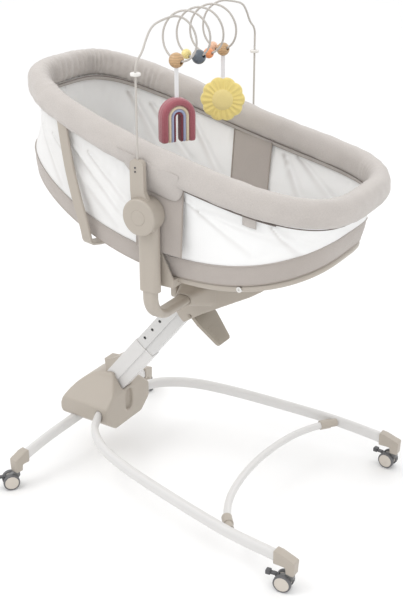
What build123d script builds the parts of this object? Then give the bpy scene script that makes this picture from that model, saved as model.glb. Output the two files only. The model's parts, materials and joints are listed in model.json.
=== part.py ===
from build123d import *
import math
import os

# A height-adjustable convertible bassinet on a wheeled frame, in millimetres.
# +X runs from the head end (hub side) to the foot end, +Y to the far side, +Z up.
# The origin is on the floor, in the middle of the base.
os.makedirs("parts", exist_ok=True)

# Casters
caster_front_x = 432.0
caster_rear_x = 426.0
caster_y = 320.0
wheel_diameter = 46.0
wheel_width = 13.0
wheel_spacing = 13.0
wheel_trail = 19.0
tyre_depth = 4.0
axle_diameter = 6.0
stem_diameter = 10.0
stem_length = 24.0
swing_gap = 0.05
rest_gap = 0.3
pedal_back = 16.0
pedal_rise = 12.0
pedal_boss = 10.0
fork_rise = 26.0
axle_blind = 4.0
caster_headings = {"front_near": 8.0, "front_far": -6.0, "rear_near": 50.0, "rear_far": -50.0}

# Base tubes, all bent from one flat-oval tube
tube_height = 32.0
tube_width = 20.0
tube_wall = 1.6
socket_depth = 22.0
cap_reach = 44.0
cap_leg = 11.0
front_tube_z = 86.0
hub_tube_z = 154.0
hub_entry_x = -300.0
front_tip_x = caster_front_x - cap_reach
side_fall = (front_tube_z - hub_tube_z) / (front_tip_x - hub_entry_x)
rear_tube_end_z = 86.0
rear_tube_mid_z = 124.0
rear_tube_mid_x = 388.0
crossbar_x = 240.0
crossbar_bow = 84.0
crossbar_half_length = 293.0
crossbar_diameter = 20.0
collar_diameter = 27.0
collar_length = 30.0

# Hub that joins the base tubes to the column
hub_front_x = -268.0
hub_back_x = -438.0
hub_bottom_z = 102.0
hub_top_z = 262.0
hub_half_width = 105.0
hub_crown_half_width = 38.0

# Telescopic column
column_angle = 50.6
column_foot_x = -292.0
column_foot_z = 246.0
column_depth = 68.0
column_wide = 40.0
column_narrow = 34.0
column_step = 40.0
column_wall = 2.0
column_slide_gap = 0.3
outer_below = 112.0
outer_above = 150.0
inner_overlap = 62.0
inner_top = 358.0
mouth_depth = 345.0
lock_holes = 4
lock_first = 27.0
lock_pitch = 40.0
lock_hole = 9.0
lock_rod_diameter = 8.0

# Head housing under the seat
housing_half_width = 52.0
housing_top_z = 648.0
housing_back_x = -62.0
housing_front_x = 190.0
wing_reach = 104.0
yoke_seat = 24.0
cover_margin = 5.0
cover_thickness = 8.0
screw_head = 9.0
screw_shank = 4.5
screw_length = 16.0

# Release lever
lever_pivot_x = -24.0
lever_pivot_z = 514.0
lever_root_width = 92.0
lever_tip_width = 56.0
lever_reach = 108.0
lever_thickness = 9.0
lever_slope = 46.0
lever_hub_radius = 8.0
lever_pin = 8.0
lever_ribs = 5

# Yoke and its side hinges
hinge_x = -15.0
hinge_z = 858.0
yoke_z = 585.0
yoke_half_width = 250.0
yoke_bend = 62.0
yoke_section = 40.0
yoke_thickness = 23.0
post_section = 56.0
post_thickness = 27.0
post_lean = 5.0
post_foot_z = 664.0
post_overlap = 60.0
knuckle_diameter = 84.0
knuckle_round = 3.0
disc_diameter = 90.0
disc_thickness = 24.0
disc_half_width = 264.0
disc_round = 5.0
plate_half_width = 227.0
plate_thickness = 5.0
plate_diameter = 70.0
shaft_diameter = 22.0
button_diameter = 38.0
button_travel = 4.0

# Basket outline: widest section, rim, and the two edges of the lower band
basket_x = 109.0
rim_head = 548.0
rim_foot = 311.0
rim_half_width = 230.0
rim_head_fullness = 3.46
rim_foot_fullness = 3.16
rim_height = 956.0
rim_slope = -0.224
rim_curl = 0.115
rim_tube_diameter = 18.0
rim_tube_wall = 1.4
padding_diameter = 62.0
floor_head = 577.0
floor_foot = 276.0
floor_half_width = 210.0
floor_head_fullness = 3.78
floor_foot_fullness = 3.2
floor_height = 698.0
floor_slope = 0.048
floor_curl = 0.68
band_height = 47.0
band_flare = 4.0
band_foot_flare = 28.0
cloth = 3.0
band_cloth = 4.0
mattress_thickness = 28.0
board_thickness = 6.0
seat_tube_diameter = 18.0
seat_tube_x = 20.0
seat_tube_inset = 10.0
seat_tube_drop = 10.2
floor_bolt_x = 212.0
floor_bolt_diameter = 14.0
floor_bolt_socket = 6.0
board_split_x = -20.0
mattress_inset = 10.0
mattress_crown = 9.0
liner_drop = 33.3
gusset_head_x = -58.0
gusset_foot_x = 66.0
gusset_cloth = 2.0
inner_panel_half_width = 216.0

# Head hoop and side bars
hoop_bar_width = 28.0
hoop_bar_thickness = 8.0
bar_x = -24.0
bar_top_z = 992.0
rim_pin_diameter = 9.0
rim_pin_drop = 9.0
bar_width = 38.0
bar_thickness = 12.0

# Toy bar
wire_diameter = 5.0
loop_radius = 56.0
loop_pitch = 60.0
loop_turns = 4
loop_centre_x = -24.0
loop_centre_z = 1240.0
wire_half_width = 270.0
arch_foot_z = 1193.0
arch_phase = 0.125
wire_foot_z = 940.0
near_stop_z = 1186.0
far_stop_z = 1150.0
stop_diameter = 24.0
stop_height = 7.0
bead_diameters = {"wood_near": 36.0, "yellow": 24.0, "grey": 34.0,
                  "orange": 25.0, "peach": 24.0, "wood_far": 32.0}
bead_turns = {"wood_near": 0.53, "yellow": 1.565, "grey": 1.45,
              "orange": 2.48, "peach": 3.56, "wood_far": 3.465}
rainbow_width = 88.0
rainbow_height = 106.0
rainbow_gap = 9.0
rainbow_facing = 55.0
toy_thickness = 30.0
sun_diameter = 112.0
sun_middle = 66.0
sun_lobes = 10
sun_lobe_reach = 41.0
sun_rim_thickness = 14.0
sun_facing = 28.0
rainbow_drop = 194.0
sun_drop = 124.0
ribbon_width = 10.0
ribbon_thickness = 1.6


def group(pieces):
    return Compound(children=list(pieces))


def save(name, shape):
    export_step(shape, f"parts/{name}.step")


def both_sides(near_piece):
    return near_piece, mirror(near_piece, about=Plane.XZ)


def bar_along(start, direction, length, section):
    # a straight bar whose section is drawn on the plane at its start
    plane = Plane(origin=start, z_dir=direction)
    return extrude(plane * section, length)


def side_plate(points, y_from, y_to):
    # a plate cut to a side outline of (x, z) points, between two y positions
    face = make_face(Polyline([(x, 0, z) for x, z in points], close=True))
    plate = extrude(face, y_to - y_from, dir=(0, 1, 0))
    return Pos(0, y_from, 0) * plate


# Smooth paths: each span between two stations is two arcs that share a tangent
def biarc(start, start_dir, end, end_dir):
    chord = end - start
    total = start_dir + end_dir
    spread = 2 * (1 - start_dir.dot(end_dir))
    along = chord.dot(total)
    if spread < 1e-9:
        reach = chord.dot(chord) / (2 * along)
    else:
        reach = (math.sqrt(along**2 + spread * chord.dot(chord)) - along) / spread
    middle = (start + end + (start_dir - end_dir) * reach) * 0.5
    middle_dir = (end - end_dir * reach - start - start_dir * reach).normalized()
    edges = []
    for a, b, tangent in ((start, middle, start_dir), (middle, end, middle_dir)):
        if tangent.cross((b - a).normalized()).length < 1e-5:
            edges.append(Edge.make_line(a, b))
        else:
            edges.append(Edge.make_tangent_arc(a, tangent, b))
    return edges


def smooth_path(stations):
    edges = []
    for (a, a_dir), (b, b_dir) in zip(stations, stations[1:]):
        edges += biarc(Vector(a), Vector(a_dir).normalized(), Vector(b), Vector(b_dir).normalized())
    return edges


def tube_along(edges, section, x_dir=None):
    start = edges[0] @ 0
    plane = Plane(origin=start, z_dir=edges[0] % 0, x_dir=x_dir)
    return sweep(plane * section, path=Wire(edges))


# The basket's rings: a rounded plan with its own head and foot, on a curved height line
def ring(head, foot, half_width, fullness, height, slope, curl):
    return dict(head=head, foot=foot, half_width=half_width, fullness=fullness,
                height=height, slope=slope, curl=curl)


def ring_end(shape, at_foot):
    # the ring's reach and fullness at its foot end or its head end
    if at_foot:
        return shape["foot"], shape["fullness"][1]
    return shape["head"], shape["fullness"][0]


def ring_x(shape, x):
    # angle at which the ring's near side passes a given x
    along = x - basket_x
    reach, power = ring_end(shape, along > 0)
    share = abs(along / reach) ** (power / 2)
    return -math.acos(math.copysign(share, along))


def ring_point(shape, angle):
    c = round(math.cos(angle), 12)
    s = round(math.sin(angle), 12)
    reach, power = ring_end(shape, c > 0)
    x = reach * math.copysign(abs(c) ** (2 / power), c)
    y = shape["half_width"] * math.copysign(abs(s) ** (2 / power), s)
    z = shape["height"] + shape["slope"] * x + shape["curl"] * x * x / 1000
    return Vector(basket_x + x, y, z)


def ring_station(shape, angle):
    step = 1e-4
    tangent = ring_point(shape, angle + step) - ring_point(shape, angle - step)
    return ring_point(shape, angle), tangent.normalized()


def ring_edges(shape, first=-math.pi, last=math.pi, spans=20):
    onward = math.copysign(1, last - first)
    stations = []
    for i in range(spans + 1):
        point, tangent = ring_station(shape, first + (last - first) * i / spans)
        stations.append((point, tangent * onward))
    return smooth_path(stations)


def ring_wall(top_out, top_in, low_out, low_in, spans=20):
    # a closed wall between four rings that have the same spans
    rings = [ring_edges(r, spans=spans) for r in (top_out, low_out, low_in, top_in)]
    faces = []
    for first, second in zip(rings, rings[1:] + rings[:1]):
        faces += [Face.make_surface_from_curves(a, b) for a, b in zip(first, second)]
    wall = Solid(Shell(faces))
    return wall if wall.volume > 0 else -wall


def rim_ring(outward=0.0, drop=0.0):
    return ring(rim_head + outward, rim_foot + outward, rim_half_width + outward,
                (rim_head_fullness, rim_foot_fullness), rim_height - drop, rim_slope, rim_curl)


def band_top_ring(outward=0.0, drop=0.0):
    return ring(floor_head + band_flare + outward, floor_foot + band_foot_flare + outward,
                floor_half_width + band_flare + outward, (floor_head_fullness, floor_foot_fullness),
                floor_height + band_height - drop, floor_slope, floor_curl)


def floor_ring(outward=0.0, drop=0.0):
    return ring(floor_head + outward, floor_foot + outward, floor_half_width + outward,
                (floor_head_fullness, floor_foot_fullness), floor_height - drop, floor_slope, floor_curl)


# Casters
def caster(tag, x, y):
    place = Pos(x, y, 0) * Rot(0, 0, caster_headings[tag])
    axle_z = wheel_diameter / 2
    axle = Pos(-wheel_trail, 0, axle_z)
    across = Rot(90, 0, 0)
    wheel_y = (wheel_spacing + wheel_width) / 2
    fork_width = wheel_spacing - 2 * rest_gap
    fork = axle * across * Cylinder(wheel_diameter / 2 - 5, fork_width)
    fork_top = axle_z + fork_rise
    cheek = side_plate([(-wheel_trail, axle_z - 8), (-wheel_trail + 16, axle_z), (7, axle_z + 14),
                        (7, fork_top), (-7, fork_top), (-wheel_trail - 8, axle_z + 16)],
                       -fork_width / 2, fork_width / 2)
    stem = Pos(0, 0, fork_top + stem_length / 2) * Cylinder(stem_diameter / 2, stem_length)
    pin = axle * across * Cylinder(axle_diameter / 2, wheel_spacing + 2 * (wheel_width - axle_blind) - 1)
    pedal_axis = Pos(-wheel_trail - pedal_back, 0, axle_z + pedal_rise)
    fork = fork + cheek + stem + pin - pedal_axis * across * Cylinder(pedal_boss / 2 + swing_gap, 40)
    fork = fork - pedal_axis * Pos(-12, 0, 6) * Box(24, 40, 24)
    save(f"caster_{tag}_fork", place * fork)

    wheels = []
    tyres = []
    for side in (-1, 1):
        core = Cylinder(wheel_diameter / 2 - tyre_depth, wheel_width)
        core = chamfer(core.edges(), 1.2)
        axle_bore = Cylinder(axle_diameter / 2 + swing_gap, wheel_width - axle_blind,
                             align=(Align.CENTER, Align.CENTER, Align.MIN))
        core = core - Pos(0, 0, -wheel_width / 2) * axle_bore
        tyre = Cylinder(wheel_diameter / 2, wheel_width - 2)
        tyre = tyre - Cylinder(wheel_diameter / 2 - tyre_depth, wheel_width)
        tyre = fillet(tyre.edges().filter_by(GeomType.CIRCLE).sort_by(SortBy.RADIUS)[-2:], 2.0)
        seat = axle * Pos(0, side * wheel_y, 0) * Rot(-90 * side, 0, 0)
        wheels.append(place * seat * core)
        tyres.append(place * seat * tyre)
    save(f"caster_{tag}_wheels", group(wheels))
    save(f"caster_{tag}_tyres", group(tyres))

    pedal = across * Cylinder(pedal_boss / 2, fork_width - 1)
    pedal = pedal + Pos(-14, 0, 3) * Box(22, 9, 6)
    pad = fillet(Box(13, 15, 12).edges(), 2)
    pedal = pedal + Pos(-24, 0, 4) * pad
    save(f"caster_{tag}_brake", place * pedal_axis * pedal)


def end_cap(tube_end, tube_dir, stem_x, stem_y):
    # elbow that closes a tube end and turns down to the caster stem
    tube_end = Vector(tube_end)
    tube_dir = Vector(tube_dir).normalized()
    flat = math.atan2(stem_y - tube_end.Y, stem_x - tube_end.X)
    reach = math.hypot(stem_y - tube_end.Y, stem_x - tube_end.X)
    z = tube_end.Z
    low = wheel_diameter / 2 + fork_rise + 1
    outline = [(-2, z + tube_height / 2 + 3), (14, z + tube_height / 2 + 2), (reach + cap_leg + 2, z + 3),
               (reach + cap_leg, low), (reach - cap_leg, low), (reach - cap_leg - 2, z - 18),
               (-2, z - tube_height / 2 - 2)]
    cap = side_plate(outline, -tube_width / 2 - 3, tube_width / 2 + 3)
    cap = fillet(cap.edges().filter_by(Axis.Y), 2.5)
    cap = Pos(tube_end.X, tube_end.Y, 0) * Rot(0, 0, math.degrees(flat)) * cap
    socket = Plane(origin=tube_end, z_dir=tube_dir, x_dir=(-tube_dir.Y, tube_dir.X, 0))
    socket = socket * SlotOverall(tube_height + 2 * swing_gap, tube_width + 2 * swing_gap, rotation=90)
    cap = cap - extrude(socket, socket_depth) - extrude(socket, -12)
    bore = Pos(stem_x, stem_y, low) * Cylinder(stem_diameter / 2 + swing_gap, 2 * stem_length + 2)
    return cap - bore


# Base frame
def frame_height(x):
    # the side tubes fall evenly from the hub to the front casters
    return front_tube_z + side_fall * (x - front_tip_x)


def oval_section(wall=0.0):
    # flat-oval tube section, solid where no wall is asked for
    section = SlotOverall(tube_height, tube_width, rotation=90)
    if wall:
        section = section - SlotOverall(tube_height - 2 * wall, tube_width - 2 * wall, rotation=90)
    return section


def round_section(diameter, wall=0.0):
    section = Circle(diameter / 2)
    return section - Circle(diameter / 2 - wall) if wall else section


def side_tube(wall=0.0):
    stations = [((-312, -72), (0.30, -0.95)), ((-246, -188), (0.76, -0.65)), ((-150, -241), (0.95, -0.31)),
                ((60, -288), (0.98, -0.17)), ((front_tip_x - 60, -caster_y + 1), (1, 0)),
                ((front_tip_x + socket_depth - 1, -caster_y + 1), (1, 0))]
    path = []
    for (x, y), (dx, dy) in stations:
        path.append(((x, y, frame_height(x)), (dx, dy, dx * side_fall)))
    edges = smooth_path(path)
    return tube_along(edges, oval_section(wall), (0.95, 0.30, 0.95 * side_fall))


def rear_tube_stations():
    tip = (-caster_rear_x + 6, -caster_y + 34, rear_tube_end_z)
    middle = (-rear_tube_mid_x, 0, rear_tube_mid_z)
    lean = Vector(0.12, 1, 0.24)
    deeper = Vector(tip) - lean * (socket_depth - 2)
    near = [(deeper, lean), (tip, lean), (middle, (0, 1, 0))]
    far_tip = (tip[0], -tip[1], tip[2])
    far_lean = Vector(-lean.X, lean.Y, -lean.Z)
    far = [(far_tip, far_lean), (Vector(far_tip) + far_lean * (socket_depth - 2), far_lean)]
    return near + far, Vector(tip), lean.normalized()


def crossbar():
    z = frame_height(crossbar_x)
    stations = [((crossbar_x, -crossbar_half_length, z), (-0.62, 0.78, 0)),
                ((crossbar_x - crossbar_bow, 0, z), (0, 1, 0)),
                ((crossbar_x, crossbar_half_length, z), (0.62, 0.78, 0))]
    return smooth_path(stations)


def hub():
    back = hub_back_x
    outline = Wire([Edge.make_line((hub_front_x, 0, hub_bottom_z), (hub_front_x, 0, 210)),
                    Edge.make_line((hub_front_x, 0, 210), (-303, 0, hub_top_z - 2)),
                    Edge.make_line((-303, 0, hub_top_z - 2), (-346, 0, hub_top_z - 8)),
                    Edge.make_three_point_arc((-346, 0, hub_top_z - 8), (-408, 0, 216), (back, 0, 150)),
                    Edge.make_line((back, 0, 150), (back + 12, 0, 116)),
                    Edge.make_line((back + 12, 0, 116), (back + 40, 0, hub_bottom_z)),
                    Edge.make_line((back + 40, 0, hub_bottom_z), (hub_front_x, 0, hub_bottom_z))])
    side = extrude(make_face(outline), hub_half_width, dir=(0, 1, 0), both=True)
    w = hub_half_width
    c = hub_crown_half_width
    front = Polyline([(0, -w, 136), (0, -w, 182), (0, -c, hub_top_z - 16), (0, -c + 12, hub_top_z + 2),
                      (0, c - 12, hub_top_z + 2), (0, c, hub_top_z - 16), (0, w, 182), (0, w, 136),
                      (0, 60, hub_bottom_z - 2), (0, -60, hub_bottom_z - 2)], close=True)
    body = side & Pos(-600, 0, 0) * extrude(make_face(front), 500, dir=(1, 0, 0))
    body = fillet(body.edges().filter_by(Axis.Y), 5)
    return body


# Column
column_dir = Vector(math.cos(math.radians(column_angle)), 0, math.sin(math.radians(column_angle)))
column_side = Vector(math.sin(math.radians(column_angle)), 0, -math.cos(math.radians(column_angle)))


def column_point(s, across=0.0):
    return Vector(column_foot_x, 0, column_foot_z) + column_dir * s + column_side * across


def column_section(inset):
    # stepped section: a wide upper part and a narrower lower part
    top = -column_depth / 2 + inset
    step = -column_depth / 2 + column_step - inset
    low = column_depth / 2 - inset
    wide = column_wide / 2 - inset
    narrow = column_narrow / 2 - inset
    return make_face(Polyline([(top, wide), (step, wide), (step, narrow), (low, narrow),
                               (low, -narrow), (step, -narrow), (step, -wide), (top, -wide)], close=True))


def column_plane(s):
    return Plane(origin=column_point(s), z_dir=column_dir, x_dir=column_side)


def column_tube(s_from, s_to, inset, wall):
    plane = column_plane(s_from)
    solid = extrude(plane * column_section(inset), s_to - s_from)
    return solid - extrude(plane * column_section(inset + wall), s_to - s_from)


def column_bore(s_from, s_to, clearance):
    return extrude(column_plane(s_from) * column_section(-clearance), s_to - s_from)


# Base assembly
near_side_tube = side_tube()
side_tubes = both_sides(near_side_tube)
rear_stations, rear_tip, rear_lean = rear_tube_stations()
rear_edges = smooth_path(rear_stations)
rear_tube = tube_along(rear_edges, oval_section(), (1, -0.12, 0))
crossbar_edges = crossbar()
crossbar_tube = tube_along(crossbar_edges, round_section(crossbar_diameter))


def base_frame():
    front_tip = (front_tip_x, -caster_y + 1, front_tube_z)
    cap = end_cap(front_tip, (1, 0, side_fall), caster_front_x, -caster_y)
    save("front_end_caps", group(both_sides(cap)))
    cap = end_cap(rear_tip, -rear_lean, -caster_rear_x, -caster_y)
    save("rear_end_caps", group(both_sides(cap)))
    save("side_frame_tubes", group(both_sides(side_tube(tube_wall))))
    save("rear_leg_tube", tube_along(rear_edges, oval_section(tube_wall), (1, -0.12, 0)))

    start = crossbar_edges[0] @ 0
    along = crossbar_edges[0] % 0
    collar = bar_along(start + along * 4, along, collar_length, Circle(collar_diameter / 2))
    collar = collar + bar_along(start + along * 4, along * -1, 22, Circle(collar_diameter / 2 - 2))
    collar = collar - near_side_tube - crossbar_tube
    collar = collar.solids().sort_by(Axis.Y)[-1]
    bar = tube_along(crossbar_edges, round_section(crossbar_diameter, tube_wall)) - side_tubes[0] - side_tubes[1]
    bar = bar.solids().sort_by(SortBy.VOLUME)[-1]
    save("crossbar_tube", bar)
    save("crossbar_collars", group(both_sides(collar)))


def column_and_hub():
    outer = column_tube(-outer_below, outer_above, 0, column_wall)
    corners = []
    for along, out in ((70, 0), (-18, 0), (10, 30), (26, 14)):
        corner = column_point(along, -column_depth / 2 - out)
        corners.append((corner.X, corner.Z))
    foot = side_plate(corners, -column_wide / 2, column_wide / 2)
    body = hub()
    body = body - column_bore(-outer_below - 1, outer_above, rest_gap)
    mouth = side_plate([(hub_front_x + 5, 206), (-292, 214), (-306, 300), (hub_front_x + 5, 300)],
                       -column_wide / 2 - 3, column_wide / 2 + 3)
    body = body - mouth
    body = body - rear_tube
    for tube in side_tubes:
        body = body - tube
    recess = Plane(origin=(hub_front_x + 1, 4, 170), z_dir=(-1, 0, 0), x_dir=(0, 0, 1))
    body = body - extrude(recess * SlotOverall(66, 34), 15)
    body = body.solids().sort_by(SortBy.VOLUME)[-1]
    foot = foot - body
    foot = foot.solids().sort_by(SortBy.VOLUME)[-1]
    outer = outer - foot
    save("hub_shell", body)
    save("column_outer", outer)
    save("column_foot_cover", foot)
    inner = column_tube(outer_above - inner_overlap, inner_top, column_wall + column_slide_gap, column_wall)
    save("column_inner", column_holes(inner))


# Head: housing, cover, release lever, yoke and posts
yoke_x = hinge_x + post_lean
lever_hub_depth = lever_hub_radius + rest_gap


def yoke_tube(wall=0.0):
    # one side: from the housing out along Y, up through the bend and into the post
    y_in = -housing_half_width + yoke_seat
    y_out = -yoke_half_width
    path = Wire([Edge.make_line((yoke_x, y_in, yoke_z), (yoke_x, y_out + yoke_bend, yoke_z)),
                 Edge.make_tangent_arc((yoke_x, y_out + yoke_bend, yoke_z), (0, -1, 0),
                                       (yoke_x, y_out, yoke_z + yoke_bend)),
                 Edge.make_line((yoke_x, y_out, yoke_z + yoke_bend),
                                (yoke_x, y_out, post_foot_z + post_overlap))])
    plane = Plane(origin=(yoke_x, y_in, yoke_z), z_dir=(0, -1, 0), x_dir=(1, 0, 0))
    section = SlotOverall(yoke_section, yoke_thickness)
    if wall:
        section = section - SlotOverall(yoke_section - 2 * wall, yoke_thickness - 2 * wall)
    return sweep(plane * section, path=path)


def along_y(x, z, diameter, y_from, y_to):
    # a round bar along Y between two y positions
    plane = Plane(origin=(x, y_from, z), z_dir=(0, 1, 0), x_dir=(1, 0, 0))
    return extrude(plane * Circle(diameter / 2), y_to - y_from)


def post():
    # flat-oval post over the yoke tube, with the knuckle that carries the basket's shaft
    y_in = -yoke_half_width + post_thickness / 2
    y_out = -yoke_half_width - post_thickness / 2
    leg = extrude(Pos(yoke_x, -yoke_half_width, post_foot_z) * SlotOverall(post_section, post_thickness),
                  hinge_z - post_foot_z)
    knuckle = along_y(hinge_x, hinge_z, knuckle_diameter, y_out, y_in)
    knuckle = fillet(knuckle.edges().filter_by(GeomType.CIRCLE), knuckle_round)
    socket = Pos(yoke_x, -yoke_half_width, post_foot_z)
    socket = socket * SlotOverall(yoke_section + 2 * swing_gap, yoke_thickness + 2 * swing_gap)
    bore = along_y(hinge_x, hinge_z, shaft_diameter + 2 * swing_gap, y_out, y_in)
    return leg + knuckle - extrude(socket, post_overlap + rest_gap) - bore


def housing_outline():
    # side outline of the casing: mouth round the column, sloping belly, flat top
    return [(housing_back_x - 8, 519), (lever_pivot_x - 22, 490), (lever_pivot_x + 38, 529), (153, 607),
            (housing_front_x, 632), (housing_front_x, housing_top_z), (housing_back_x, housing_top_z),
            (housing_back_x, 560)]


def housing_cover():
    middle = (housing_back_x + housing_front_x) / 2
    length = housing_front_x - housing_back_x - 2 * cover_margin
    width = 2 * (housing_half_width - cover_margin)
    cover = extrude(Pos(middle, 0, housing_top_z - cover_thickness) * RectangleRounded(length, width, 10),
                    cover_thickness)
    screws = []
    for x in (middle - length / 2 + 14, middle + length / 2 - 14):
        for side in (-1, 1):
            screws.append(Pos(x, side * (width / 2 - 14), housing_top_z) * screw())
    return cover, screws


def screw():
    # a pan-head screw whose shank goes down from the origin
    head = extrude(Circle(screw_head / 2), 3)
    head = fillet(head.edges().filter_by(GeomType.CIRCLE).sort_by(Axis.Z)[-1:], 1.2)
    shank = extrude(Circle(screw_shank / 2), -screw_length)
    slot = Pos(0, 0, 3) * Box(screw_head, 1.2, 2)
    return head + shank - slot


def clamp_lug():
    # lug behind the wing that a bolt pulls on to the yoke tube
    x = housing_back_x
    lug = Pos(x, -housing_half_width - 8, 592) * Box(18, 22, 54)
    return fillet(lug.edges().filter_by(Axis.X), 8)


def housing(tubes, cover, screws):
    body = side_plate(housing_outline(), -housing_half_width, housing_half_width)
    body = fillet(body.edges().filter_by(Axis.Y), 6)
    for side in (-1, 1):
        root = Plane(origin=(yoke_x + 14, side * (housing_half_width - 4), yoke_z + 6), z_dir=(0, side, 0),
                     x_dir=(1, 0, 0))
        tip = Plane(origin=(yoke_x, side * wing_reach, yoke_z), z_dir=(0, side, 0), x_dir=(1, 0, 0))
        body = body + loft([root * RectangleRounded(108, 66, 16),
                            tip * RectangleRounded(yoke_section + 8, yoke_thickness + 8, 12)])
    for lug in both_sides(clamp_lug()):
        body = body + lug
    for tube in tubes:
        body = body - tube
    body = body - column_bore(mouth_depth, inner_top + rest_gap, swing_gap - column_wall - column_slide_gap)
    body = body - column_bore(mouth_depth - 60, mouth_depth, rest_gap)
    x = lever_pivot_x
    z = lever_pivot_z
    recess = side_plate([(x - lever_hub_depth, z + lever_hub_depth), (x + 14, z + lever_hub_depth),
                         (x + 60, z + 8), (x + 60, z - 50), (x - lever_hub_depth, z - 50)],
                        -lever_root_width / 2 - rest_gap, lever_root_width / 2 + rest_gap)
    pin_bore = along_y(x, z, lever_pin + 2 * swing_gap, -housing_half_width - 5, housing_half_width + 5)
    body = body - recess - pin_bore - cover
    for piece in screws:
        body = body - piece
    return body.solids().sort_by(SortBy.VOLUME)[-1]


def lever():
    # wide paddle on a round hub, with grip ribs near its tip
    slope = math.radians(lever_slope)
    plane = Plane(origin=(lever_pivot_x, 0, lever_pivot_z), x_dir=(math.cos(slope), 0, -math.sin(slope)),
                  z_dir=(math.sin(slope), 0, math.cos(slope)))
    root = lever_root_width / 2
    tip = lever_tip_width / 2
    outline = Polyline([(0, -root), (30, -root), (lever_reach, -tip), (lever_reach, tip), (30, root),
                        (0, root)], close=True)
    blade = extrude(plane * make_face(outline), lever_thickness / 2, both=True)
    upright = Axis((0, 0, 0), (math.sin(slope), 0, math.cos(slope)))
    corners = blade.edges().filter_by(upright).sort_by(Axis(plane.origin, plane.x_dir))[-2:]
    blade = fillet(corners, 12)
    hub_bar = along_y(lever_pivot_x, lever_pivot_z, 2 * lever_hub_radius, -root, root)
    pin = along_y(lever_pivot_x, lever_pivot_z, lever_pin, -housing_half_width - 2, housing_half_width + 2)
    body = blade + hub_bar + pin
    for i in range(lever_ribs):
        along = lever_reach - 14 - 10 * i
        rib = plane * Pos(along, 0, lever_thickness / 2) * Box(3, lever_tip_width - 16 + 2.6 * i, 2.4)
        body = body + rib
    return body


def lock_parts():
    # plug in the foot of the inner tube and the rod that the lever pulls
    foot = outer_above - inner_overlap
    inset = 2 * column_wall + column_slide_gap + swing_gap
    plug = extrude(column_plane(foot + 2) * column_section(inset), 40)
    rod_plane = column_plane(foot + 30)
    rod = extrude(rod_plane * Circle(lock_rod_diameter / 2), inner_top - foot - 34)
    return plug - rod, rod


def column_holes(shape):
    # row of locking holes down the near and far faces of the inner tube
    for i in range(lock_holes):
        centre = column_point(outer_above + lock_first + i * lock_pitch, -column_depth / 2 + 16)
        shape = shape - along_y(centre.X, centre.Z, lock_hole, -column_wide, column_wide)
    return shape


def head_assembly():
    tubes = both_sides(yoke_tube())
    cover, screws = housing_cover()
    body = housing(tubes, cover, screws)
    for piece in screws:
        cover = cover - piece
    plug, rod = lock_parts()
    save("yoke_tubes", group(both_sides(yoke_tube(tube_wall))))
    save("yoke_posts", group(both_sides(post())))
    save("head_housing", body)
    save("housing_cover", cover)
    save("housing_screws", group(screws))
    save("release_lever", lever())
    save("lock_plug", plug)
    save("lock_rod", rod)


# Side hinges: the basket's shaft, its riser to the seat tube, and the outer disc with the side bar
def seat_tube_ring():
    return floor_ring(-seat_tube_inset, seat_tube_drop)


def side_hinge():
    y_in = -plate_half_width
    y_out = y_in - plate_thickness
    plate = along_y(hinge_x, hinge_z, plate_diameter, y_out, y_in)
    shaft = along_y(hinge_x, hinge_z, shaft_diameter, -disc_half_width - disc_thickness / 2, y_in)
    start = ring_point(seat_tube_ring(), ring_x(seat_tube_ring(), seat_tube_x))
    riser = side_plate([(hinge_x - 18, hinge_z), (hinge_x + 18, hinge_z), (hinge_x + 24, 760),
                        (start.X + 24, start.Z + 5), (start.X + 24, start.Z - 15), (start.X - 16, start.Z - 15),
                        (hinge_x - 12, 760)], y_out, y_in)
    foot = side_plate([(start.X - 16, start.Z - 15), (start.X - 16, start.Z + 5), (start.X + 24, start.Z + 5),
                       (start.X + 24, start.Z - 15)], y_out, start.Y + 12)
    return plate + shaft + riser + foot


def side_disc():
    y_in = -disc_half_width
    y_out = y_in - disc_thickness
    disc = along_y(hinge_x, hinge_z, disc_diameter, y_out, y_in)
    disc = fillet(disc.edges().filter_by(GeomType.CIRCLE).sort_by(Axis.Y)[:1], disc_round)
    half = bar_width / 2
    bar = side_plate([(hinge_x - 26, hinge_z + 30), (bar_x - half, hinge_z + 60), (bar_x - half, bar_top_z),
                      (bar_x + half, bar_top_z), (bar_x + half, hinge_z + 60), (hinge_x + 26, hinge_z + 30)],
                     y_in - bar_thickness, y_in)
    bar = fillet(bar.edges().filter_by(Axis.Y).sort_by(Axis.Z)[-2:], 12)
    body = disc + bar + rim_pin()
    shaft_seat = along_y(hinge_x, hinge_z, shaft_diameter + 2 * swing_gap, y_in - disc_thickness / 2, y_in)
    button_seat = along_y(hinge_x, hinge_z, button_diameter + 2 * swing_gap, y_out, y_in - disc_thickness / 2)
    wire_seat = Pos(loop_centre_x, -wire_half_width, wire_foot_z) * Cylinder(
        wire_diameter / 2 + swing_gap, bar_top_z - wire_foot_z, align=(Align.CENTER, Align.CENTER, Align.MIN))
    return body - shaft_seat - button_seat - wire_seat


def rim_pin(clearance=0.0):
    # pin on the side bar that holds the rim tube
    return along_y(bar_x, bar_top_z - rim_pin_drop, rim_pin_diameter + 2 * clearance, -disc_half_width,
                   -rim_half_width)


def side_button():
    y_out = -disc_half_width - disc_thickness - 1
    y_in = -disc_half_width - disc_thickness / 2 - button_travel - rest_gap
    button = along_y(hinge_x, hinge_z, button_diameter, y_out, y_in)
    return fillet(button.edges().filter_by(GeomType.CIRCLE).sort_by(Axis.Y)[:1], 2)


# Basket
def split_ends(shape, gap):
    # the angles where a ring is cut on the near side, just head side and just foot side of the side bar
    return ring_x(shape, bar_x - gap), ring_x(shape, bar_x + gap)


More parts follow.
